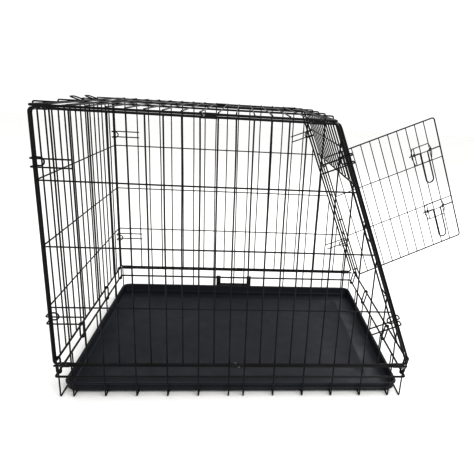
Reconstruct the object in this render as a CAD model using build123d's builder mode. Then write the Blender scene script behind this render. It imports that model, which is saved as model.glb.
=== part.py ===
from build123d import *
import os
from math import sin, cos, radians, atan2, hypot

# Folding wire dog crate with a sloping door end.
# X runs along the crate (the sloping end is +X), Y across it (the near side is -Y),
# Z up from the floor.  The origin is the middle of the footprint on the floor.
# Millimetres.

# ---- driving dimensions -------------------------------------------------
length = 909.0            # base, between the centres of the end wires
width = 631.0             # between the centres of the two side frames
top_length = 659.0        # lid, between the centres of its end wires
side_top = 722.0          # centre of a side panel's top wire
side_foot = 101.0         # centre of a side panel's bottom wire
skirt_top = 95.0          # centre of the base's top wire
mid_level = 63.0          # centre of the base's middle wire, the ends' hinge axis
frame_d = 5.0             # thick frame wire
mesh_d = 3.0              # thin mesh wire
weld = 0.4                # how deep two welded wires bite into each other
cells = 23                # pitches along the base
floor_index = (1, 3, 5, 7, 9, 11, 12, 14, 16, 18, 20, 22)   # cross wires of the base
floor_long = (-212.0, -106.0, 0.0, 106.0, 212.0)            # lengthwise floor wires

end_half = 306.0          # half width of an end panel, centre of its frame wire
end_cells = 16
rear_top = 719.0          # centre of the upright end's top wire
front_out = 8.0           # how far the sloping end lies outside the side edges
front_len = 664.0         # sloping end, along the slope
head_foot = 508.0         # lower edge of the fixed grille above the door
head_rail = 601.0         # its middle wire
jamb_far = 236.0          # hinge jamb, also the door's hinge axis
jamb_near = -217.0        # latch jamb

door_open = 96.0          # degrees from closed, as the crate stands
door_w = 443.0            # hinge axis to the centre of the free edge
door_foot, door_top = 17.0, 494.0
door_gap = 9.0            # hinge axis to the door's hinge-side wire
door_pitch = 35.4
door_rails = (185.0, 345.0)
door_frame_d, door_mesh_d = 4.0, 2.5
bolt_levels = (155.0, 383.0)
bolt_d = 4.0
bolt_lift = 6.5           # bolt centre above the door plane

tray_x, tray_y = 444.0, 305.0     # half sizes of the tray's rim
tray_z0, tray_z1 = 5.9, 34.0

# ---- derived ------------------------------------------------------------
x0, x1 = -length / 2, length / 2
xt = x0 + top_length
yw = width / 2
pitch = length / cells
slope = atan2(x1 - xt, side_top - side_foot)
slope_len = hypot(x1 - xt, side_top - side_foot)
up = Vector(-sin(slope), 0, cos(slope))       # up along the sloping end
out = Vector(cos(slope), 0, sin(slope))       # outward from the sloping end
step_in = frame_d / 2 + mesh_d / 2 - weld     # frame centre to mesh centre
rails = [side_foot + (side_top - side_foot) * k / 4 for k in (1, 2, 3)]
lid_z = side_top + 6.0
lid_rib_y, lid_rib_d = 80.0, 4.5              # the two thick lengthwise wires of the lid
front_foot = Vector(x1, 0, side_foot) + out * front_out
th = radians(door_open)
door_dir = out * sin(th) - Vector(0, 1, 0) * cos(th)
door_out = out * cos(th) + Vector(0, 1, 0) * sin(th)
door_foot_pt = front_foot + Vector(0, jamb_far, 0)


def rod(a, b, d):
    """A straight round wire from a to b, kept aside for one weld."""
    a, b = Vector(*a), Vector(*b)
    with BuildSketch(Plane(origin=a, z_dir=b - a), mode=Mode.PRIVATE) as end:
        Circle(d / 2)
    return extrude(end.sketch, amount=(b - a).length, mode=Mode.PRIVATE)


def bent(points, radius, d, close=False):
    """A round wire along a polyline with rounded bends."""
    pts = [Vector(*p) for p in points]
    with BuildLine(mode=Mode.PRIVATE) as run:
        FilletPolyline(*pts, radius=radius, close=close)
    start = run.wires()[0]
    with BuildSketch(Plane(origin=start @ 0, z_dir=start % 0), mode=Mode.PRIVATE) as end:
        Circle(d / 2)
    return sweep(end.sketch, path=start, mode=Mode.PRIVATE)


def slope_x(z):
    """Where the side panels' sloping edge is at height z."""
    return x1 - (z - side_foot) * (x1 - xt) / (side_top - side_foot)


def front(s, y, n):
    """A point on the sloping end: s up the slope, y across, n outward."""
    return front_foot + up * s + out * n + Vector(0, y, 0)


def door(s, w, n):
    """A point on the door: s up the hinge, w from the hinge, n outward."""
    return door_foot_pt + up * s + door_dir * w + door_out * n


os.makedirs("parts", exist_ok=True)

# ---- base ---------------------------------------------------------------
cross_x = [x0 + 6.6] + [x0 + pitch * k for k in floor_index] + [x1 - 6.6]
y_in = yw - step_in                  # centre of the wires inside the side frames
bend_r = 8.0
floor_z = mesh_d / 2
long_z = floor_z + mesh_d - weld

with BuildPart() as base_floor_grid:
    add([rod((x, -y_in + bend_r, floor_z), (x, y_in - bend_r, floor_z), mesh_d)
         for x in cross_x]
        + [rod((x0 + step_in + bend_r, y, long_z), (x1 - step_in - bend_r, y, long_z), mesh_d)
           for y in floor_long])
base_floor_grid.part.label = "base_floor_grid"
export_step(base_floor_grid.part, "parts/base_floor_grid.step")

for name, side in (("near", -1), ("far", 1)):
    with BuildPart() as skirt:
        wires = [
            rod((x0 + 5, side * yw, mid_level), (x1 - 5, side * yw, mid_level), frame_d),
            rod((x0 - 2, side * yw, skirt_top), (x1 + 2, side * yw, skirt_top), frame_d),
        ]
        for x in cross_x:
            wires.append(bent([(x, side * (y_in - bend_r), floor_z), (x, side * y_in, floor_z),
                               (x, side * y_in, skirt_top + 1.5)], bend_r - 0.01, mesh_d))
        add(wires)
    skirt.part.label = "base_" + name + "_skirt"
    export_step(skirt.part, "parts/base_" + name + "_skirt.step")

for name, xe in (("rear", x0), ("front", x1)):
    s = 1 if xe > 0 else -1
    with BuildPart() as end_skirt:
        wires = [bent([(xe - s * 5, -yw, mid_level), (xe, -yw, mid_level),
                       (xe, yw, mid_level), (xe - s * 5, yw, mid_level)], 4.99, frame_d)]
        for y in floor_long:
            xi = xe - s * step_in
            wires.append(bent([(xi - s * bend_r, y, long_z), (xi, y, long_z),
                               (xi, y, mid_level + 1.5)], bend_r - 0.01, mesh_d))
        add(wires)
    end_skirt.part.label = "base_" + name + "_skirt"
    export_step(end_skirt.part, "parts/base_" + name + "_skirt.step")

# ---- side panels and lid --------------------------------------------------
for name, side in (("near", -1), ("far", 1)):
    ys, yi = side * yw, side * y_in
    yr = side * (y_in + mesh_d - weld)
    with BuildPart() as panel:
        wires = [bent([(x0, ys, side_foot), (x0, ys, side_top), (xt, ys, side_top),
                       (x1, ys, side_foot)], 8.0, frame_d, close=True)]
        for k in range(1, cells):
            x = x0 + pitch * k
            top = side_top + 1.5
            if x > xt - 4:
                top = side_foot + (x1 - x) / (x1 - xt) * (side_top - side_foot) + 2.5
            wires.append(rod((x, yi, side_foot - 2), (x, yi, min(top, side_top + 1.5)), mesh_d))
        for z in rails:
            wires.append(rod((x0, yr, z), (slope_x(z), yr, z), mesh_d))
        add(wires)
    panel.part.label = name + "_side_panel"
    export_step(panel.part, "parts/" + name + "_side_panel.step")

with BuildPart() as lid_panel:
    wires = [bent([(x0, -yw, lid_z), (xt, -yw, lid_z), (xt, yw, lid_z), (x0, yw, lid_z)],
                  8.0, frame_d, close=True)]
    for k in range(1, 17):
        x = x0 + pitch * k
        wires.append(rod((x, -yw - 1, lid_z + step_in), (x, yw + 1, lid_z + step_in), mesh_d))
    for y in (-lid_rib_y, lid_rib_y):
        wires.append(rod((x0, y, lid_z + 0.25), (xt, y, lid_z + 0.25), lid_rib_d))
    add(wires)
lid_panel.part.label = "lid_panel"
export_step(lid_panel.part, "parts/lid_panel.step")


def sleeve(name, xa, xb, y, z_low, z_high):
    """A sheet-metal sleeve folded round two frame wires, one above the other."""
    zm = (z_low + z_high) / 2
    run = z_high - z_low
    plane = Plane(origin=(xa, y, zm), x_dir=(0, 0, 1), z_dir=(1, 0, 0))
    with BuildPart() as part:
        with BuildSketch(plane):
            SlotCenterToCenter(run, frame_d + 2.4)
            SlotCenterToCenter(run, frame_d, mode=Mode.SUBTRACT)
        extrude(amount=xb - xa)
    part.part.label = name
    export_step(part.part, "parts/" + name + ".step")


clear = mesh_d / 2 + 1.0
foot_spans = (("rear", x0 + 9.5, x0 + pitch - clear),
              ("middle", x0 + pitch * 11 + clear, x0 + pitch * 12 - clear),
              ("front", x1 - pitch + clear, x1 - 13.0))
top_spans = (("rear", x0 + 9.5, x0 + pitch - clear),
             ("middle", x0 + pitch * 9 + clear, x0 + pitch * 10 - clear),
             ("front", x0 + pitch * 15 + clear, x0 + pitch * 16 - clear))
for name, side in (("near", -1), ("far", 1)):
    for place, xa, xb in foot_spans:
        sleeve(name + "_foot_sleeve_" + place, xa, xb, side * yw, skirt_top, side_foot)
    for place, xa, xb in top_spans:
        sleeve(name + "_lid_sleeve_" + place, xa, xb, side * yw, side_top, lid_z)

# ---- corner hooks on the side panels --------------------------------------
# each is one wire: two legs outside the panel, round the corner, and a round end inside
hook_half = 9.5           # half the distance between a hook's two legs
hook_in = 299.5           # where the round end lies, just inside the end panel's frame
for name, side in (("near", -1), ("far", 1)):
    yo = side * (yw + frame_d / 2 + mesh_d / 2 - 0.05)
    ye = side * hook_in
    bends = [4.0, 4.0, 9.4, 9.4, 4.0, 4.0]
    for place, z in (("low", 224.0), ("high", 606.0)):
        xe = x0 - 7.0
        xs = x0 + 2 * pitch + 4.0
        with BuildPart() as hook:
            add(bent([(xs, yo, z + hook_half), (xe, yo, z + hook_half), (xe, ye, z + hook_half),
                      (x0 + 15, ye, z + hook_half), (x0 + 15, ye, z - hook_half),
                      (xe, ye, z - hook_half), (xe, yo, z - hook_half),
                      (xs, yo, z - hook_half)], bends, mesh_d))
        label = name + "_rear_hook_" + place
        hook.part.label = label
        export_step(hook.part, "parts/" + label + ".step")
    edge = Vector(x1, 0, side_foot)
    for place, s in (("low", 135.0), ("high", 583.0)):
        def at(n, y, ds):
            return edge + up * (s + ds) + out * n + Vector(0, y, 0)
        with BuildPart() as hook:
            add(bent([at(-66, yo, hook_half), at(15, yo, hook_half), at(15, ye, hook_half),
                      at(-15, ye, hook_half), at(-15, ye, -hook_half),
                      at(15, ye, -hook_half), at(15, yo, -hook_half),
                      at(-66, yo, -hook_half)], bends, mesh_d))
        label = name + "_front_hook_" + place
        hook.part.label = label
        export_step(hook.part, "parts/" + label + ".step")

# ---- small hooks on the lid's end wires ------------------------------------
zh = lid_z + frame_d / 2 + mesh_d / 2 - 0.05
xc = x0 + pitch - mesh_d / 2 + 0.05           # just touching the lid's first cross wire
with BuildPart() as lid_rear_hooks:
    add([bent([(xc, y, zh), (x0 - 28, y, zh), (x0 - 28, y, zh - 11)], 4.0, mesh_d)
         for y in (-230.0, -87.0, 87.0, 230.0)])
lid_rear_hooks.part.label = "lid_rear_hooks"
export_step(lid_rear_hooks.part, "parts/lid_rear_hooks.step")
with BuildPart() as lid_rear_loops:
    add([bent([(xc, y - 18, zh), (x0 + 24, y - 18, zh), (x0 - 3, y - 18, zh + 9),
               (x0 - 3, y + 18, zh + 9), (x0 + 24, y + 18, zh), (xc, y + 18, zh)],
              [4.0, 7.0, 7.0, 4.0], mesh_d) for y in (-57.0, 57.0)])
lid_rear_loops.part.label = "lid_rear_loops"
export_step(lid_rear_loops.part, "parts/lid_rear_loops.step")
with BuildPart() as lid_front_hooks:
    add([bent([(xt - 9, y, zh), (xt + 19, y, zh), (xt + 20, y, zh - 14)], 4.0, mesh_d)
         for y in (-172.0, -57.0, 57.0, 172.0)])
lid_front_hooks.part.label = "lid_front_hooks"
export_step(lid_front_hooks.part, "parts/lid_front_hooks.step")

# ---- upright end ------------------------------------------------------------
end_pitch = 2 * end_half / end_cells
rear_foot = side_foot
with BuildPart() as rear_end_panel:
    wires = [bent([(x0, -end_half, rear_foot), (x0, end_half, rear_foot),
                   (x0, end_half, rear_top), (x0, -end_half, rear_top)], 9.0, frame_d,
                  close=True)]
    for k in range(1, end_cells):
        y = -end_half + end_pitch * k
        wires.append(rod((x0 - step_in, y, rear_foot - 1.5), (x0 - step_in, y, rear_top + 1.5),
                         mesh_d))
    for z in rails:
        wires.append(rod((x0 - 1.0, -end_half, z), (x0 - 1.0, end_half, z), mesh_d))
    add(wires)
rear_end_panel.part.label = "rear_end_panel"
export_step(rear_end_panel.part, "parts/rear_end_panel.step")

eye_d = 4.0
eye_r = frame_d / 2 + 0.8 + eye_d / 2        # centre of the eye wire round the pivot wire
eye_y = (-293.0, -122.0, 122.0, 293.0)


def eyes(foot, head):
    """Oval loops that hang an end panel's bottom wire on the base's end wire."""
    run = head - foot
    run_len = run.length
    lift = run.normalized()
    top = head - lift * (eye_r - frame_d / 2 - eye_d / 2 + 0.05)
    mid = (foot + top) * 0.5
    loops = []
    for y in eye_y:
        plane = Plane(origin=mid + Vector(0, y, 0), x_dir=lift, z_dir=(0, 1, 0))
        half = (top - foot).length / 2
        with BuildLine(plane, mode=Mode.PRIVATE) as oval:
            Line((-half, -eye_r), (half, -eye_r))
            ThreePointArc((half, -eye_r), (half + eye_r, 0), (half, eye_r))
            Line((half, eye_r), (-half, eye_r))
            ThreePointArc((-half, eye_r), (-half - eye_r, 0), (-half, -eye_r))
        path = oval.wires()[0]
        with BuildSketch(Plane(origin=path @ 0, z_dir=path % 0), mode=Mode.PRIVATE) as end:
            Circle(eye_d / 2)
        loops.append(sweep(end.sketch, path=path, mode=Mode.PRIVATE))
    return loops


with BuildPart() as rear_hinge_eyes:
    add(eyes(Vector(x0, 0, mid_level), Vector(x0, 0, rear_foot)))
rear_hinge_eyes.part.label = "rear_hinge_eyes"
export_step(rear_hinge_eyes.part, "parts/rear_hinge_eyes.step")

# ---- sloping end --------------------------------------------------------------
with BuildPart() as front_head_grille:
    wires = [bent([front(head_foot, -end_half, 0), front(front_len, -end_half, 0),
                   front(front_len, end_half, 0), front(head_foot, end_half, 0)], 9.0, frame_d),
             rod(front(head_foot, -end_half, 0), front(head_foot, end_half, 0), mesh_d + 1)]
    for k in range(1, end_cells):
        y = -end_half + end_pitch * k
        wires.append(rod(front(head_foot - 1.5, y, step_in), front(front_len + 1.5, y, step_in),
                         mesh_d))
    wires.append(rod(front(head_rail, -end_half, 1.0), front(head_rail, end_half, 1.0), mesh_d))
    add(wires)
front_head_grille.part.label = "front_head_grille"
export_step(front_head_grille.part, "parts/front_head_grille.step")

head_low = head_foot - (mesh_d + 1) / 2
for name, outer, inner in (("near", -end_half, jamb_near), ("far", end_half, jamb_far)):
    side = 1 if outer > 0 else -1
    mid = (outer + inner) / 2
    with BuildPart() as jamb:
        wires = [bent([front(head_low, outer, 0), front(0, outer, 0),
                       front(0, inner - side * 3, 0)], 9.0, frame_d),
                 rod(front(0, inner, 0), front(head_low, inner, 0), mesh_d + 1),
                 rod(front(-1.5, mid, step_in), front(head_low, mid, step_in), mesh_d)]
        for s in door_rails:
            wires.append(rod(front(s, outer, 1.0), front(s, inner, 1.0), mesh_d))
        add(wires)
    jamb.part.label = "front_" + name + "_jamb"
    export_step(jamb.part, "parts/front_" + name + "_jamb.step")

with BuildPart() as front_sill:
    add([rod(front(0, jamb_near + 3, 0), front(0, jamb_far - 3, 0), frame_d)])
front_sill.part.label = "front_sill"
export_step(front_sill.part, "parts/front_sill.step")

with BuildPart() as front_hinge_eyes:
    add(eyes(Vector(x1, 0, mid_level), Vector(front_foot.X, 0, front_foot.Z)))
front_hinge_eyes.part.label = "front_hinge_eyes"
export_step(front_hinge_eyes.part, "parts/front_hinge_eyes.step")

for name, s in (("lower", bolt_levels[0]), ("upper", bolt_levels[1])):
    y = jamb_near - (mesh_d + 1) / 2 - door_mesh_d / 2 + 0.05
    with BuildPart() as catch:
        add(bent([front(s - 8, y, -2), front(s - 8, y, bolt_lift + 5.5),
                  front(s + 8, y, bolt_lift + 5.5), front(s + 8, y, -2)], 4.0, door_mesh_d))
    catch.part.label = name + "_latch_catch"
    export_step(catch.part, "parts/" + name + "_latch_catch.step")

# ---- door ----------------------------------------------------------------------
door_in = door_frame_d / 2 + door_mesh_d / 2 - weld
with BuildPart() as door_panel:
    wires = [bent([door(door_foot, door_gap, 0), door(door_foot, door_w, 0),
                   door(door_top, door_w, 0), door(door_top, door_gap, 0)], 9.0, door_frame_d,
                  close=True)]
    for k in range(1, 12):
        w = door_gap + door_pitch * k
        wires.append(rod(door(door_foot - 1, w, -door_in), door(door_top + 1, w, -door_in),
                         door_mesh_d))
    for s in door_rails:
        wires.append(rod(door(s, door_gap, -0.75), door(s, door_w, -0.75), door_mesh_d))
    add(wires)
door_panel.part.label = "door_panel"
export_step(door_panel.part, "parts/door_panel.step")

with BuildPart() as door_hinge_eyes:
    loops = []
    for s in (44.0, 255.0, 466.0):
        r = (mesh_d + 1) / 2 + 0.6 + door_mesh_d / 2
        reach = door_gap - door_frame_d / 2 - door_mesh_d / 2 + 0.05
        loops.append(bent([door(s, reach, -r), door(s, -r, -r), door(s, -r, r),
                           door(s, reach, r)], r - 0.02, door_mesh_d))
        loops.append(rod(door(s, reach, -r), door(s, reach, r), door_mesh_d))
    add(loops)
door_hinge_eyes.part.label = "door_hinge_eyes"
export_step(door_hinge_eyes.part, "parts/door_hinge_eyes.step")

lug_n = -0.75 + door_mesh_d - 0.05            # bracket centre, lying on the rail
for name, s, rail in (("lower", bolt_levels[0], door_rails[0]),
                      ("upper", bolt_levels[1], door_rails[1])):
    grip = 1 if rail > s else -1              # which edge of the bracket is on the rail
    s_on = rail
    s_off = 2 * s - rail if abs(rail - s) < 32 else s - grip * 27
    lo, hi = min(s_on, s_off), max(s_on, s_off)
    with BuildPart() as bracket:
        wires = [bent([door(lo, 334, lug_n), door(lo, 400, lug_n), door(s - 5, 408, lug_n),
                       door(s, 401, lug_n), door(s + 5, 408, lug_n), door(hi, 400, lug_n),
                       door(hi, 334, lug_n), door(s + 5, 326, lug_n), door(s, 333, lug_n),
                       door(s - 5, 326, lug_n)], 3.0, door_mesh_d, close=True),
                 bent([door(s - 5, 340, lug_n), door(s - 5, 340, bolt_lift + 4),
                       door(s + 5, 340, bolt_lift + 4), door(s + 5, 340, lug_n)], 2.5,
                      door_mesh_d),
                 rod(door(lo, 340, lug_n), door(hi, 340, lug_n), door_mesh_d),
                 rod(door(s, 333, lug_n), door(s, 401, lug_n), door_mesh_d),
                 bent([door(s + 5, 406, lug_n), door(s + 5, 406, bolt_lift + 4),
                       door(s - 3, 406, bolt_lift + 4)], 2.5, door_mesh_d)]
        add(wires)
    bracket.part.label = name + "_latch_bracket"
    export_step(bracket.part, "parts/" + name + "_latch_bracket.step")
    with BuildPart() as bolt:
        n = bolt_lift
        add(bent([door(s, 320, n), door(s, 364, n), door(s - 120, 364, n),
                  door(s - 120, 394, n), door(s, 394, n), door(s, door_w + 1, n)],
                 [5.0, 14.5, 14.5, 5.0], bolt_d))
    bolt.part.label = name + "_latch_bolt"
    export_step(bolt.part, "parts/" + name + "_latch_bolt.step")

# ---- tray ------------------------------------------------------------------------
wall = 2.5
foot_in = 8.0             # the walls lean out by this much from foot to rim
with BuildPart() as tray:
    with BuildSketch(Plane.XY.offset(tray_z0)):
        RectangleRounded(2 * (tray_x - foot_in), 2 * (tray_y - foot_in), 20)
    extrude(amount=tray_z1 - tray_z0, taper=-5)
    for z in (tray_z0 + 7.0, tray_z0 + 16.0):             # two rolled ridges round the walls
        with BuildSketch(Plane.XY.offset(z)):
            RectangleRounded(2 * (tray_x - 3.5), 2 * (tray_y - 3.5), 22)
        extrude(amount=3.0)
    with BuildSketch(Plane.XY.offset(tray_z0 + wall)):
        RectangleRounded(2 * (tray_x - foot_in - wall), 2 * (tray_y - foot_in - wall), 18)
    extrude(amount=tray_z1 - tray_z0, taper=-5, mode=Mode.SUBTRACT)
    with BuildSketch(Plane.XY.offset(tray_z1 - 5.0)):     # rim, turned outward
        RectangleRounded(2 * tray_x, 2 * tray_y, 24)
        RectangleRounded(2 * (tray_x - 6.5), 2 * (tray_y - 6.5), 20, mode=Mode.SUBTRACT)
    extrude(amount=5.0)
tray.part.label = "tray"
export_step(tray.part, "parts/tray.step")

# ---- carry handle -------------------------------------------------------------------
grip_half = 60.0
grip_x = -20.0            # middle of the grip along the crate
clip_w = 16.0
grip_z = mid_level - 39.0
with BuildPart() as carry_handle:
    for side in (-1, 1):
        with BuildSketch(Plane.YZ.offset(grip_x + side * grip_half - clip_w / 2)):
            with Locations((yw, mid_level)):
                Circle(frame_d / 2 + 4.2)
            with BuildLine():
                Polyline((yw + 0.8, mid_level - 5), (yw + 6.6, mid_level - 2),
                         (yw + 9.5, grip_z), (yw + 3.2, grip_z), close=True)
            make_face()
            with Locations((yw, mid_level)):
                Circle(frame_d / 2 + 0.4, mode=Mode.SUBTRACT)
        extrude(amount=clip_w)
    with BuildSketch(Plane.YZ.offset(grip_x - grip_half - clip_w / 2)):
        with Locations((yw + 7.0, grip_z)):
            SlotOverall(22.0, 12.0, rotation=90)
    extrude(amount=2 * grip_half + clip_w)
carry_handle.part.label = "carry_handle"
export_step(carry_handle.part, "parts/carry_handle.step")
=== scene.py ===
from math import atan2, cos, pi, radians, sin, tan

import bpy
from mathutils import Matrix, Vector, noise


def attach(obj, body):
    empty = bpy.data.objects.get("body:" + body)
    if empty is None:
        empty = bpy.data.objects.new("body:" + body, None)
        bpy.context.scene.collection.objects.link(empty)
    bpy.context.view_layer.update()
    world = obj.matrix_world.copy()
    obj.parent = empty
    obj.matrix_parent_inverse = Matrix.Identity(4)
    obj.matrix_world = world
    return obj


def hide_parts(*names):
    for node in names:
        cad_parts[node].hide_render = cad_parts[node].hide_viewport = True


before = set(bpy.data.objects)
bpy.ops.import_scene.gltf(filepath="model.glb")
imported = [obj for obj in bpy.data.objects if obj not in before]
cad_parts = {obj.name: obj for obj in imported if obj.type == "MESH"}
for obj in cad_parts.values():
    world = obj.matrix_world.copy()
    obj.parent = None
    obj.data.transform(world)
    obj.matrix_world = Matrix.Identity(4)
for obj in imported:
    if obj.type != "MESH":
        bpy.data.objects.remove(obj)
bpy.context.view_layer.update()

# ---- the crate's sizes, in millimetres, as in part.py -----------------------
length, width, top_length = 909.0, 631.0, 659.0
side_top, side_foot, skirt_top, mid_level = 722.0, 101.0, 95.0, 63.0
frame_d, mesh_d, weld = 5.0, 3.0, 0.4
cells = 23
floor_index = (1, 3, 5, 7, 9, 11, 12, 14, 16, 18, 20, 22)
floor_long = (-212.0, -106.0, 0.0, 106.0, 212.0)
end_half, end_cells, rear_top = 306.0, 16, 719.0
front_out, front_len, head_foot, head_rail = 8.0, 664.0, 508.0, 601.0
jamb_far, jamb_near = 236.0, -217.0
door_open, door_w, door_foot, door_top = 96.0, 443.0, 17.0, 494.0
door_gap, door_pitch, door_rails = 9.0, 35.4, (185.0, 345.0)
door_frame_d, door_mesh_d = 4.0, 2.5
bolt_levels, bolt_d, bolt_lift = (155.0, 383.0), 4.0, 6.5
tray_x, tray_y = 444.0, 305.0

x0, x1 = -length / 2, length / 2
xt = x0 + top_length
yw = width / 2
pitch = length / cells
slope = atan2(x1 - xt, side_top - side_foot)
up = Vector((-sin(slope), 0, cos(slope)))
out = Vector((cos(slope), 0, sin(slope)))
across = Vector((0, 1, 0))
step_in = frame_d / 2 + mesh_d / 2 - weld
rails = [side_foot + (side_top - side_foot) * k / 4 for k in (1, 2, 3)]
lid_z = side_top + 6.0
lid_rib_y, lid_rib_d = 80.0, 4.5
coat = 0.5                 # what the powder coat adds to a wire's diameter
front_foot = Vector((x1, 0, side_foot)) + out * front_out
th = radians(door_open)
door_dir = out * sin(th) - across * cos(th)
door_out = out * cos(th) + across * sin(th)
y_in = yw - step_in


def front(s, y, n):
    """A point on the sloping end: s up the slope, y across, n outward."""
    return front_foot + up * s + out * n + across * y


def door(s, w, n):
    """A point on the door: s up the hinge, w from the hinge, n outward."""
    return front_foot + across * jamb_far + up * s + door_dir * w + door_out * n


def slope_x(z):
    return x1 - (z - side_foot) * (x1 - xt) / (side_top - side_foot)


# ---- mesh building ----------------------------------------------------------
def bend(points, radius, closed=False, steps=6):
    """A polyline with its corners rounded, as points."""
    pts = [Vector(p) for p in points]
    n = len(pts)
    inner = n if closed else n - 2
    radii = list(radius) if isinstance(radius, (list, tuple)) else [radius] * inner
    path = []
    for i, p in enumerate(pts):
        if not closed and i in (0, n - 1):
            path.append(p)
            continue
        r = radii[i if closed else i - 1]
        da = (pts[i - 1] - p).normalized()
        db = (pts[(i + 1) % n] - p).normalized()
        half = da.angle(db) / 2
        start = p + da * (r / tan(half))
        centre = p + (da + db).normalized() * (r / sin(half))
        a = start - centre
        b = p + db * (r / tan(half)) - centre
        axis = a.cross(b).normalized()
        turn = a.angle(b)
        for k in range(steps + 1):
            path.append(centre + Matrix.Rotation(turn * k / steps, 3, axis) @ a)
    return path


def run(a, b, sway=0.0, way=None, seed=0.0, steps=8):
    """A nearly straight wire: it sways a little, as drawn wire does."""
    a, b = Vector(a), Vector(b)
    if not sway:
        return [a, b]
    way = Vector(way)
    path = []
    for k in range(steps + 1):
        t = k / steps
        lean = noise.noise(Vector((seed * 3.7, t * 2.3, 0.5)))
        path.append(a.lerp(b, t) + way * (sway * lean * sin(pi * t) ** 0.5 if 0 < t < 1 else 0))
    return path


class Piece:
    """One mesh, gathered tube by tube in millimetres."""

    def __init__(self):
        self.v, self.f = [], []

    def rings(self, rings, closed=False, caps=True):
        base, m = len(self.v), len(rings[0])
        for ring in rings:
            self.v.extend(ring)
        n = len(rings)
        for i in range(n if closed else n - 1):
            a, b = base + i * m, base + (i + 1) % n * m
            for k in range(m):
                self.f.append((a + k, a + (k + 1) % m, b + (k + 1) % m, b + k))
        if caps and not closed:
            self.f.append(tuple(base + k for k in reversed(range(m))))
            self.f.append(tuple(base + (n - 1) * m + k for k in range(m)))

    def tube(self, path, d, closed=False, sides=12):
        """A round wire of diameter d along a path, with its coat and eased ends."""
        pts = [Vector(p) for p in path]
        r = (d + coat) / 2
        n = len(pts)
        tangents = []
        for i in range(n):
            a = pts[i - 1] if closed or i else pts[0]
            b = pts[(i + 1) % n] if closed or i < n - 1 else pts[-1]
            tangents.append((b - a).normalized())
        u = tangents[0].orthogonal().normalized()
        stations = []
        for p, t in zip(pts, tangents):
            u = (u - t * u.dot(t)).normalized()
            stations.append((p, t, u.copy(), t.cross(u), r))
        if not closed:
            p, t, a, b, _ = stations[0]
            start = [(p + t * (r * k), t, a, b, r * q) for k, q in
                     ((0.0, 0.6), (0.12, 0.85), (0.4, 1.0))]
            p, t, a, b, _ = stations[-1]
            stop = [(p - t * (r * k), t, a, b, r * q) for k, q in
                    ((0.4, 1.0), (0.12, 0.85), (0.0, 0.6))]
            stations = start + stations[1:-1] + stop
        turns = [(cos(2 * pi * k / sides), sin(2 * pi * k / sides)) for k in range(sides)]
        self.rings([[p + (a * c + b * s) * q for c, s in turns] for p, t, a, b, q in stations],
                   closed=closed)

    def bead(self, p, r, squash=None, amount=0.7):
        """A small rounded weld nugget."""
        p = Vector(p)
        way = Vector(squash).normalized() if squash else Vector((0, 0, 1))
        u = way.orthogonal().normalized()
        w = way.cross(u)
        rings = []
        for k in range(1, 6):
            a = pi * k / 6
            rings.append([p + (u * cos(2 * pi * j / 9) + w * sin(2 * pi * j / 9)) * (r * sin(a))
                          + way * (-cos(a) * r * amount) for j in range(9)])
        self.rings(rings)

    def sweep(self, profile, a, b, u, v, bevel=0.35):
        """A closed profile in the u, v plane drawn out from a to b, with eased ends."""
        a, b, u, v = Vector(a), Vector(b), Vector(u), Vector(v)
        t = (b - a).normalized()
        mid = Vector((sum(p[0] for p in profile), sum(p[1] for p in profile))) / len(profile)

        def ring(origin, shrink):
            return [origin + u * p[0] + v * p[1] - (u * (p[0] - mid.x) + v * (p[1] - mid.y))
                    * shrink for p in profile]
        self.rings([ring(a, 0.03), ring(a + t * bevel, 0), ring(b - t * bevel, 0), ring(b, 0.03)])

    def done(self, name, body, nodes, material):
        mesh = bpy.data.meshes.new(name)
        mesh.from_pydata([tuple(c * 0.001 for c in p) for p in self.v], [], self.f)
        mesh.polygons.foreach_set("use_smooth", [True] * len(mesh.polygons))
        mesh.update()
        o = bpy.data.objects.new(name, mesh)
        bpy.context.scene.collection.objects.link(o)
        o.data.materials.append(material)
        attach(o, body)
        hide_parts(*nodes)


# ---- materials ----------------------------------------------------------------
def material(name):
    m = bpy.data.materials.new(name)
    m.use_nodes = True
    t = m.node_tree
    shader = t.nodes["Principled BSDF"]
    where = t.nodes.new("ShaderNodeTexCoord").outputs["Object"]
    return m, t, shader, where


def noise_node(t, where, scale, detail=3.0, rough=0.5, stretch=None):
    if stretch:
        mapping = t.nodes.new("ShaderNodeMapping")
        mapping.inputs["Scale"].default_value = stretch
        t.links.new(where, mapping.inputs["Vector"])
        where = mapping.outputs["Vector"]
    n = t.nodes.new("ShaderNodeTexNoise")
    n.inputs["Scale"].default_value = scale
    n.inputs["Detail"].default_value = detail
    n.inputs["Roughness"].default_value = rough
    t.links.new(where, n.inputs["Vector"])
    return n.outputs["Fac"]


def ramp(t, value, stops):
    n = t.nodes.new("ShaderNodeValToRGB")
    while len(n.color_ramp.elements) < len(stops):
        n.color_ramp.elements.new(0.5)
    for e, (at, c) in zip(n.color_ramp.elements, stops):
        e.position = at
        e.color = (c, c, c, 1) if isinstance(c, float) else (*c, 1)
    t.links.new(value, n.inputs["Fac"])
    return n.outputs["Color"]


def mix(t, fac, a, b):
    n = t.nodes.new("ShaderNodeMix")
    n.data_type = "RGBA"
    t.links.new(fac, n.inputs["Factor"])
    for s, c in ((n.inputs["A"], a), (n.inputs["B"], b)):
        if isinstance(c, tuple):
            s.default_value = (*c, 1)
        else:
            t.links.new(c, s)
    return n.outputs["Result"]


def bump(t, shader, height, strength, distance):
    n = t.nodes.new("ShaderNodeBump")
    n.inputs["Strength"].default_value = strength
    n.inputs["Distance"].default_value = distance
    t.links.new(height, n.inputs["Height"])
    t.links.new(n.outputs["Normal"], shader.inputs["Normal"])


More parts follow.
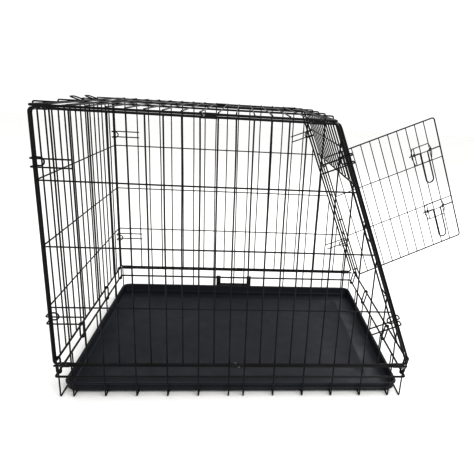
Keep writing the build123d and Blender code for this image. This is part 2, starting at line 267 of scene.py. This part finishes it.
def coated(name, wear=0.0, tone=1.0):
    """Black powder coat, slightly pebbled, with a few rubbed specks."""
    m, t, s, where = material(name)
    s.inputs["Specular IOR Level"].default_value = 0.18
    tint = ramp(t, noise_node(t, where, 14.0, 4.0), [
        (0.3, (0.0055 * tone, 0.0055 * tone, 0.0066 * tone)),
        (0.7, (0.0130 * tone, 0.0130 * tone, 0.0150 * tone))])
    rub = ramp(t, noise_node(t, where, 95.0, 6.0, 0.62), [
        (0.715 - wear * 0.22, 0.0), (0.735 - wear * 0.2, 1.0)])
    t.links.new(mix(t, rub, tint, (0.33, 0.33, 0.34)), s.inputs["Base Color"])
    t.links.new(rub, s.inputs["Metallic"])
    t.links.new(ramp(t, noise_node(t, where, 60.0, 3.0), [(0.3, 0.30), (0.7, 0.46)]),
                s.inputs["Roughness"])
    bump(t, s, noise_node(t, where, 1500.0, 2.0), 0.22, 0.0002)
    return m


def plastic(name, dark, light, rough, grain):
    """Moulded polypropylene: fine grain, faint flow clouds and light scuffs."""
    m, t, s, where = material(name)
    s.inputs["Specular IOR Level"].default_value = 0.33
    cloud = ramp(t, noise_node(t, where, 5.0, 5.0), [(0.3, dark), (0.72, light)])
    scuff = ramp(t, noise_node(t, where, 38.0, 7.0, 0.7, (1.0, 7.0, 1.0)), [
        (0.62, 0.0), (0.8, 0.35)])
    t.links.new(mix(t, scuff, cloud, tuple(c * 2.2 for c in light)), s.inputs["Base Color"])
    t.links.new(ramp(t, noise_node(t, where, 22.0, 4.0), [(0.3, rough - 0.06),
                                                          (0.7, rough + 0.08)]),
                s.inputs["Roughness"])
    bump(t, s, noise_node(t, where, grain, 2.0), 0.18, 0.0004)
    return m


wire_coat = coated("wire_coat")
fitting_coat = coated("fitting_coat", wear=0.1)
bolt_coat = coated("bolt_coat", wear=0.15)
sleeve_coat = coated("sleeve_coat", wear=0.55, tone=1.3)
tray_plastic = plastic("tray_plastic", (0.0060, 0.0072, 0.0125), (0.0105, 0.0120, 0.0185), 0.46,
                       900.0)
handle_plastic = plastic("handle_plastic", (0.012, 0.012, 0.013), (0.02, 0.02, 0.022), 0.5,
                         1300.0)

X, Y, Z = Vector((1, 0, 0)), Vector((0, 1, 0)), Vector((0, 0, 1))

# ---- base pan -------------------------------------------------------------------
cross_x = [x0 + 6.6] + [x0 + pitch * k for k in floor_index] + [x1 - 6.6]
fz, lz = mesh_d / 2, mesh_d * 1.5 - weld
pan = Piece()
pan.tube(bend([(x0, -yw, mid_level), (x1, -yw, mid_level), (x1, yw, mid_level),
               (x0, yw, mid_level)], 5.0, closed=True), frame_d, closed=True, sides=14)
for side in (-1, 1):
    pan.tube(run((x0 - 2, side * yw, skirt_top), (x1 + 2, side * yw, skirt_top), 0.5, Z, side),
             frame_d, sides=14)
for i, x in enumerate(cross_x):
    pan.tube(bend([(x, -y_in, skirt_top + 1.5), (x, -y_in, fz), (x, y_in, fz),
                   (x, y_in, skirt_top + 1.5)], 4.0), mesh_d)
    for side in (-1, 1):
        for z in (mid_level, skirt_top):
            pan.bead((x, side * (yw - 2.2), z), 2.1, Y)
    for y in floor_long:
        pan.bead((x, y, fz + 1.3), 1.9, Z)
for y in floor_long:
    xi = x1 - step_in
    pan.tube(bend([(-xi, y, mid_level + 1.5), (-xi, y, lz), (xi, y, lz), (xi, y, mid_level + 1.5)],
                  8.0), mesh_d)
    for sx in (-1, 1):
        pan.bead((sx * (x1 - 2.2), y, mid_level), 2.1, X)
pan.done("base_pan", "crate_frame", ["base_floor_grid", "base_near_skirt", "base_far_skirt",
                                     "base_rear_skirt", "base_front_skirt"], wire_coat)

# ---- side panels ------------------------------------------------------------------
for name, side in (("near", -1), ("far", 1)):
    ys, yi = side * yw, side * y_in
    yr = side * (y_in + mesh_d - weld)
    p = Piece()
    p.tube(bend([(x0, ys, side_foot), (x0, ys, side_top), (xt, ys, side_top),
                 (x1, ys, side_foot)], 8.0, closed=True), frame_d, closed=True, sides=14)
    for k in range(1, cells):
        x = x0 + pitch * k
        top = side_top + 1.5
        if x > xt - 4:
            top = side_foot + (x1 - x) / (x1 - xt) * (side_top - side_foot) + 2.5
        top = min(top, side_top + 1.5)
        p.tube(run((x, yi, side_foot - 2), (x, yi, top), 2.2, X, k + 31 * side), mesh_d)
        p.bead((x, side * (yw - 2.2), side_foot), 2.1, Y)
        p.bead((x, side * (yw - 2.2), top - 2), 2.1, Y)
        for z in rails:
            if z < top - 5:
                p.bead((x, side * (y_in + 1.4), z), 1.9, Y)
    for j, z in enumerate(rails):
        p.tube(run((x0, yr, z), (slope_x(z), yr, z), 0.8, Z, j + 5 * side), mesh_d)
    p.done(name + "_side_wires", "crate_frame", [name + "_side_panel"], wire_coat)

# ---- lid ----------------------------------------------------------------------------
p = Piece()
p.tube(bend([(x0, -yw, lid_z), (xt, -yw, lid_z), (xt, yw, lid_z), (x0, yw, lid_z)], 8.0,
            closed=True), frame_d, closed=True, sides=14)
for k in range(1, 17):
    x = x0 + pitch * k
    p.tube(run((x, -yw - 1, lid_z + step_in), (x, yw + 1, lid_z + step_in), 1.6, X, k + 90),
           mesh_d)
    for y in (-yw, yw):
        p.bead((x, y, lid_z + 2.2), 2.1, Z)
    for y in (-lid_rib_y, lid_rib_y):
        p.bead((x, y, lid_z + 2.3), 2.1, Z)
for y in (-lid_rib_y, lid_rib_y):
    p.tube(run((x0, y, lid_z + 0.25), (xt, y, lid_z + 0.25), 0.8, Y, y), lid_rib_d)
p.done("lid_wires", "crate_frame", ["lid_panel"], wire_coat)


# ---- sheet-metal sleeves ---------------------------------------------------------------
def sleeve(name, xa, xb, y, z_low, z_high, side):
    """A strip of sheet folded round both wires, its seam left open on the inner side."""
    zm, half = (z_low + z_high) / 2, (z_high - z_low) / 2
    outer, inner = frame_d / 2 + 1.2, frame_d / 2 + 0.02
    steps = 9

    def oval(r, gap):
        pts = [(-side * r, -gap)]
        for c, first in ((-half, pi), (half, 0.0)):
            for k in range(steps + 1):
                a = first + pi * k / steps
                pts.append((side * r * cos(a), c + r * sin(a)))
        pts.append((-side * r, gap))
        return pts
    shape = oval(outer, 0.5) + list(reversed(oval(inner, 0.5)))
    p = Piece()
    p.sweep(shape, (xa, y, zm), (xb, y, zm), Y, Z)
    for k in (1, 3):
        x = xa + (xb - xa) * k / 4
        p.bead((x, y + side * outer * 0.9, zm), 1.5, Y, 0.35)
    p.done(name + "_plate", "crate_frame", [name], sleeve_coat)


clear = mesh_d / 2 + 1.0
foot_spans = (("rear", x0 + 9.5, x0 + pitch - clear),
              ("middle", x0 + pitch * 11 + clear, x0 + pitch * 12 - clear),
              ("front", x1 - pitch + clear, x1 - 13.0))
top_spans = (("rear", x0 + 9.5, x0 + pitch - clear),
             ("middle", x0 + pitch * 9 + clear, x0 + pitch * 10 - clear),
             ("front", x0 + pitch * 15 + clear, x0 + pitch * 16 - clear))
for name, side in (("near", -1), ("far", 1)):
    for place, xa, xb in foot_spans:
        sleeve(name + "_foot_sleeve_" + place, xa, xb, side * yw, skirt_top, side_foot, side)
    for place, xa, xb in top_spans:
        sleeve(name + "_lid_sleeve_" + place, xa, xb, side * yw, side_top, lid_z, side)

# ---- corner hooks: one wire each, outside, round the corner and back in a round end ---------
hh = 9.5                   # half the distance between a hook's two legs
hook_in = 299.5            # where the round end lies, inside the end panel's frame
for name, side in (("near", -1), ("far", 1)):
    yo = side * (yw + frame_d / 2 + mesh_d / 2 - 0.05)
    ye = side * hook_in
    turns = [4.0, 4.0, 9.4, 9.4, 4.0, 4.0]
    for place, z in (("low", 224.0), ("high", 606.0)):
        xe, xs = x0 - 7.0, x0 + 2 * pitch + 4.0
        p = Piece()
        p.tube(bend([(xs, yo, z + hh), (xe, yo, z + hh), (xe, ye, z + hh), (x0 + 15, ye, z + hh),
                     (x0 + 15, ye, z - hh), (xe, ye, z - hh), (xe, yo, z - hh),
                     (xs, yo, z - hh)], turns), mesh_d)
        for x in (x0, x0 + pitch, x0 + 2 * pitch):
            for dz in (-hh, hh):
                p.bead((x, yo - side * 1.4, z + dz), 1.9, Y)
        label = name + "_rear_hook_" + place
        p.done(label + "_wire", "crate_frame", [label], fitting_coat)
    edge = Vector((x1, 0, side_foot))
    for place, s in (("low", 135.0), ("high", 583.0)):
        def at(n, y, ds):
            return edge + up * (s + ds) + out * n + Y * y
        p = Piece()
        p.tube(bend([at(-66, yo, hh), at(15, yo, hh), at(15, ye, hh), at(-15, ye, hh),
                     at(-15, ye, -hh), at(15, ye, -hh), at(15, yo, -hh), at(-66, yo, -hh)],
                    turns), mesh_d)
        for ds in (-hh, hh):
            p.bead(at(0, yo - side * 1.4, ds), 1.9, Y)
        label = name + "_front_hook_" + place
        p.done(label + "_wire", "crate_frame", [label], fitting_coat)

zh = lid_z + frame_d / 2 + mesh_d / 2 - 0.05
p = Piece()
xc = x0 + pitch - mesh_d / 2
for y in (-230.0, -87.0, 87.0, 230.0):
    p.tube(bend([(xc, y, zh), (x0 - 28, y, zh), (x0 - 28, y, zh - 11)], 4.0), mesh_d)
    p.bead((x0, y, zh - 1.4), 1.9, Z)
p.done("lid_rear_hook_wires", "crate_frame", ["lid_rear_hooks"], fitting_coat)
p = Piece()
for y in (-57.0, 57.0):
    p.tube(bend([(xc, y - 18, zh), (x0 + 24, y - 18, zh), (x0 - 3, y - 18, zh + 9),
                 (x0 - 3, y + 18, zh + 9), (x0 + 24, y + 18, zh), (xc, y + 18, zh)],
                [4.0, 7.0, 7.0, 4.0]), mesh_d)
p.done("lid_rear_loop_wires", "crate_frame", ["lid_rear_loops"], fitting_coat)
p = Piece()
for y in (-172.0, -57.0, 57.0, 172.0):
    p.tube(bend([(xt - 9, y, zh), (xt + 19, y, zh), (xt + 20, y, zh - 14)], 4.0), mesh_d)
    p.bead((xt, y, zh - 1.4), 1.9, Z)
p.done("lid_front_hook_wires", "crate_frame", ["lid_front_hooks"], fitting_coat)

# ---- upright end ---------------------------------------------------------------------------
end_pitch = 2 * end_half / end_cells
p = Piece()
p.tube(bend([(x0, -end_half, side_foot), (x0, end_half, side_foot), (x0, end_half, rear_top),
             (x0, -end_half, rear_top)], 9.0, closed=True), frame_d, closed=True, sides=14)
for k in range(1, end_cells):
    y = -end_half + end_pitch * k
    p.tube(run((x0 - step_in, y, side_foot - 1.5), (x0 - step_in, y, rear_top + 1.5), 2.0, Y,
               k + 140), mesh_d)
    for z in (side_foot, rear_top):
        p.bead((x0 - 2.2, y, z), 2.1, X)
    for z in rails:
        p.bead((x0 - 2.4, y, z), 1.9, X)
for j, z in enumerate(rails):
    p.tube(run((x0 - 1.0, -end_half, z), (x0 - 1.0, end_half, z), 0.8, Z, j + 60), mesh_d)
p.done("rear_end_wires", "rear_end", ["rear_end_panel"], wire_coat)

eye_d = 4.0
eye_r = frame_d / 2 + 0.8 + eye_d / 2
eye_y = (-293.0, -122.0, 122.0, 293.0)


def eyes(foot, head, body, node):
    """Oval loops from an end panel's bottom wire down round the base's end wire."""
    lift = (head - foot).normalized()
    top = head - lift * (eye_r - frame_d / 2 - eye_d / 2 + 0.05)
    side = lift.cross(Y)
    p = Piece()
    for y in eye_y:
        path = []
        for c, first in ((foot, pi), (top, 0.0)):
            for k in range(9):
                a = first + pi * k / 8
                path.append(c + Y * y + (side * cos(a) + lift * sin(a)) * eye_r)
        p.tube(path, eye_d, closed=True)
        p.bead(head + lift * 2.4 + Y * y, 2.0, lift)
    p.done(node + "_wires", body, [node], fitting_coat)


eyes(Vector((x0, 0, mid_level)), Vector((x0, 0, side_foot)), "rear_end", "rear_hinge_eyes")

# ---- sloping end ----------------------------------------------------------------------------
p = Piece()
p.tube(bend([front(0, -end_half, 0), front(front_len, -end_half, 0), front(front_len, end_half, 0),
             front(0, end_half, 0)], 9.0, closed=True), frame_d, closed=True, sides=14)
p.tube([front(head_foot, -end_half, 0), front(head_foot, end_half, 0)], mesh_d + 1)
for k in range(1, end_cells):
    y = -end_half + end_pitch * k
    p.tube(run(front(head_foot - 1.5, y, step_in), front(front_len + 1.5, y, step_in), 0.8, Y,
               k + 200), mesh_d)
    for s in (head_foot, head_rail, front_len):
        p.bead(front(s, y, 2.2), 2.0, out)
p.tube([front(head_rail, -end_half, 1), front(head_rail, end_half, 1)], mesh_d)
for outer, inner in ((-end_half, jamb_near), (end_half, jamb_far)):
    mid = (outer + inner) / 2
    p.tube([front(0, inner, 0), front(head_foot, inner, 0)], mesh_d + 1)
    p.tube(run(front(-1.5, mid, step_in), front(head_foot, mid, step_in), 1.0, Y, mid), mesh_d)
    for s in (0.0,) + door_rails + (head_foot,):
        p.bead(front(s, mid, 2.2), 2.0, out)
        p.bead(front(s, inner, 1.0), 2.3, out)
    for s in door_rails:
        p.tube([front(s, outer, 1), front(s, inner, 1)], mesh_d)
p.done("front_end_wires", "front_end", ["front_head_grille", "front_near_jamb", "front_far_jamb",
                                        "front_sill"], wire_coat)
eyes(Vector((x1, 0, mid_level)), front(0, 0, 0), "front_end", "front_hinge_eyes")

for name, s in (("lower", bolt_levels[0]), ("upper", bolt_levels[1])):
    y = jamb_near - (mesh_d + 1) / 2 - door_mesh_d / 2 + 0.05
    p = Piece()
    p.tube(bend([front(s - 8, y, -2), front(s - 8, y, bolt_lift + 5.5),
                 front(s + 8, y, bolt_lift + 5.5), front(s + 8, y, -2)], 4.0), door_mesh_d)
    for ds in (-8, 8):
        p.bead(front(s + ds, y + 1.2, 0), 1.7, Y)
    p.done(name + "_latch_catch_wire", "front_end", [name + "_latch_catch"], fitting_coat)

# ---- door -----------------------------------------------------------------------------------
door_in = door_frame_d / 2 + door_mesh_d / 2 - weld
p = Piece()
p.tube(bend([door(door_foot, door_gap, 0), door(door_foot, door_w, 0), door(door_top, door_w, 0),
             door(door_top, door_gap, 0)], 9.0, closed=True), door_frame_d, closed=True, sides=14)
for k in range(1, 12):
    w = door_gap + door_pitch * k
    p.tube(run(door(door_foot - 1, w, -door_in), door(door_top + 1, w, -door_in), 1.8, door_dir,
               k + 260), door_mesh_d)
    for s in (door_foot, door_top) + door_rails:
        p.bead(door(s, w, -1.7), 1.7, door_out)
for s in door_rails:
    p.tube(run(door(s, door_gap, -0.75), door(s, door_w, -0.75), 0.8, up, s), door_mesh_d)
p.done("door_wires", "door", ["door_panel"], wire_coat)

p = Piece()
r = (mesh_d + 1) / 2 + 0.6 + door_mesh_d / 2
reach = door_gap - door_frame_d / 2 - door_mesh_d / 2 + 0.05
for s in (44.0, 255.0, 466.0):
    p.tube(bend([door(s, -r, -r), door(s, -r, r), door(s, reach, r), door(s, reach, -r)],
                [r - 0.02, r - 0.02, 1.3, 1.3], closed=True), door_mesh_d, closed=True)
p.done("door_hinge_eye_wires", "door", ["door_hinge_eyes"], fitting_coat)

lug_n = -0.75 + door_mesh_d - 0.05
for name, s, rail in (("lower", bolt_levels[0], door_rails[0]),
                      ("upper", bolt_levels[1], door_rails[1])):
    grip = 1 if rail > s else -1
    s_off = 2 * s - rail if abs(rail - s) < 32 else s - grip * 27
    lo, hi = min(rail, s_off), max(rail, s_off)
    p = Piece()
    p.tube(bend([door(lo, 334, lug_n), door(lo, 400, lug_n), door(s - 5, 408, lug_n),
                 door(s, 401, lug_n), door(s + 5, 408, lug_n), door(hi, 400, lug_n),
                 door(hi, 334, lug_n), door(s + 5, 326, lug_n), door(s, 333, lug_n),
                 door(s - 5, 326, lug_n)], 3.0, closed=True, steps=4), door_mesh_d, closed=True)
    p.tube(bend([door(s - 5, 340, lug_n), door(s - 5, 340, bolt_lift + 4),
                 door(s + 5, 340, bolt_lift + 4), door(s + 5, 340, lug_n)], 2.5), door_mesh_d)
    p.tube([door(lo, 340, lug_n), door(hi, 340, lug_n)], door_mesh_d)
    p.tube([door(s, 333, lug_n), door(s, 401, lug_n)], door_mesh_d)
    p.tube(bend([door(s + 5, 406, lug_n), door(s + 5, 406, bolt_lift + 4),
                 door(s - 3, 406, bolt_lift + 4)], 2.5), door_mesh_d)
    for w in (345, 362, 380, 396):
        p.bead(door(rail, w, 0.5), 1.6, door_out)
    p.done(name + "_latch_bracket_wire", "door", [name + "_latch_bracket"], fitting_coat)
    p = Piece()
    n = bolt_lift
    p.tube(bend([door(s, 320, n), door(s, 364, n), door(s - 120, 364, n), door(s - 120, 394, n),
                 door(s, 394, n), door(s, door_w + 1, n)], [5.0, 14.5, 14.5, 5.0], steps=10),
           bolt_d, sides=14)
    p.done(name + "_latch_bolt_wire", name + "_bolt", [name + "_latch_bolt"], bolt_coat)

# ---- tray -----------------------------------------------------------------------------------


def rounded(a, b, r, z, steps=10):
    """A rounded rectangle with half sizes a and b, at height z."""
    ring = []
    for cx, cy, first in ((a - r, b - r, 0.0), (r - a, b - r, pi / 2), (r - a, r - b, pi),
                          (a - r, r - b, 3 * pi / 2)):
        for k in range(steps + 1):
            t = first + pi / 2 * k / steps
            ring.append(Vector((cx + r * cos(t), cy + r * sin(t), z)))
    return ring


p = Piece()
a, b = tray_x, tray_y
outline = [  # inset from the rim, height, corner radius
    (10.5, 5.9, 18), (8.6, 6.6, 20), (7.8, 8.6, 20), (7.4, 12.4, 20), (4.4, 13.2, 22),
    (3.7, 14.4, 22), (4.4, 15.7, 22), (6.7, 16.4, 21), (6.4, 21.4, 21), (4.3, 22.2, 22),
    (3.7, 23.4, 22), (4.3, 24.7, 22), (5.7, 25.4, 21), (5.3, 28.6, 21), (1.4, 28.9, 23),
    (0.2, 29.6, 24), (0.0, 30.8, 24), (0.2, 32.8, 24), (1.2, 33.8, 23), (2.6, 34.0, 22),
    (5.6, 33.9, 20), (6.6, 33.2, 20), (7.4, 31.0, 19), (9.6, 11.6, 18), (10.6, 9.4, 17),
    (13.0, 8.5, 16), (60.0, 8.2, 14), (64.0, 9.4, 14), (70.0, 9.4, 13), (74.0, 8.2, 12),
    (160.0, 8.2, 10)]
p.rings([rounded(a - i, b - i, r, z) for i, z, r in outline])
p.done("tray_shell", "tray", ["tray"], tray_plastic)

# ---- carry handle -----------------------------------------------------------------------------
p = Piece()
gz = mid_level - 39.0
grip_x, grip_half, clip_half, clip_r = -20.0, 60.0, 8.0, 6.6
for side in (-1, 1):
    outer = [(cos(2 * pi * k / 24) * clip_r, sin(2 * pi * k / 24) * clip_r) for k in range(24)]
    xc = grip_x + side * grip_half
    xa, xb = xc - clip_half, xc + clip_half
    ring = [[Vector((x, yw + u * q / clip_r, mid_level + v * q / clip_r)) for u, v in outer]
            for x, q in ((xa + 0.6, 2.95), (xa, 3.4), (xa, 6.0), (xa + 0.7, 6.65),
                         (xb - 0.7, 6.65), (xb, 6.0), (xb, 3.4), (xb - 0.6, 2.95))]
    p.rings(ring, closed=True)
    leg = [(1.4, -5.2), (6.4, -2.2), (9.2, -38.0), (3.6, -38.0)]
    p.sweep(leg, (xa + 0.3, yw, mid_level), (xb - 0.3, yw, mid_level), Y, Z, 0.8)
grip_deep, grip_tall = 6.0, 11.0         # half sizes of the grip's section
grip_end = grip_half + clip_half
body = []
for k in range(45):
    x = -grip_end + 2 * grip_end * k / 44
    edge = min(1.0, ((grip_end - abs(x)) / 4.0 + 0.02)) ** 0.5
    groove = 0.0 if abs(x) > 50 else 0.45 * (0.5 + 0.5 * cos(x / 25 * 2 * pi))
    ring = []
    for j in range(20):
        t = 2 * pi * j / 20
        c, s = cos(t), sin(t)
        deep = (grip_deep - groove) * edge * abs(c) ** 0.7 * (1 if c > 0 else -1)
        tall = (grip_tall - groove) * edge * abs(s) ** 0.8 * (1 if s > 0 else -1)
        ring.append(Vector((x + grip_x, yw + 7.0 + deep, gz + tall)))
    body.append(ring)
p.rings(body)
p.done("carry_handle_grip", "carry_handle", ["carry_handle"], handle_plastic)

# ---- floor, light and camera --------------------------------------------------------------------
floor_mesh = bpy.data.meshes.new("floor")
floor_mesh.from_pydata([(-9, -9, 0), (9, -9, 0), (9, 9, 0), (-9, 9, 0)], [], [(0, 1, 2, 3)])
floor = bpy.data.objects.new("floor", floor_mesh)
bpy.context.scene.collection.objects.link(floor)
m, t, s, where = material("floor_finish")
t.links.new(ramp(t, noise_node(t, where, 1.5, 2.0), [(0.2, (0.93, 0.925, 0.91)),
                                                     (0.8, (0.95, 0.947, 0.935))]),
            s.inputs["Base Color"])
s.inputs["Roughness"].default_value = 0.6
floor_mesh.materials.append(m)

world = bpy.data.worlds.new("studio")
bpy.context.scene.world = world
world.use_nodes = True
world.node_tree.nodes["Background"].inputs["Color"].default_value = (1.0, 1.0, 1.0, 1)
world.node_tree.nodes["Background"].inputs["Strength"].default_value = 1.05


def lamp(name, place, aim, size, power, tint=(1, 1, 1)):
    light = bpy.data.lights.new(name, "AREA")
    light.shape = "SQUARE"
    light.size = size
    light.energy = power
    light.color = tint
    o = bpy.data.objects.new(name, light)
    o.location = place
    o.rotation_euler = (Vector(aim) - Vector(place)).to_track_quat("-Z", "Y").to_euler()
    bpy.context.scene.collection.objects.link(o)


lamp("key", (1.3, -1.8, 2.6), (0, 0, 0.3), 1.6, 60.0)
lamp("rim", (1.8, 2.2, 1.9), (0, 0, 0.4), 1.4, 35.0)

camera_data = bpy.data.cameras.new("camera")
camera_data.sensor_width = 36.0
camera_data.lens = 33.33
camera_data.shift_x = -0.0903
camera_data.shift_y = -0.0329
camera = bpy.data.objects.new("camera", camera_data)
camera.location = (-0.0075, -1.3017, 0.784)
camera.rotation_euler = (radians(73.538), radians(-3.309), radians(-4.529))
bpy.context.scene.collection.objects.link(camera)
bpy.context.scene.camera = camera
bpy.context.scene.view_settings.view_transform = "Standard"
bpy.context.scene.view_settings.gamma = 0.75
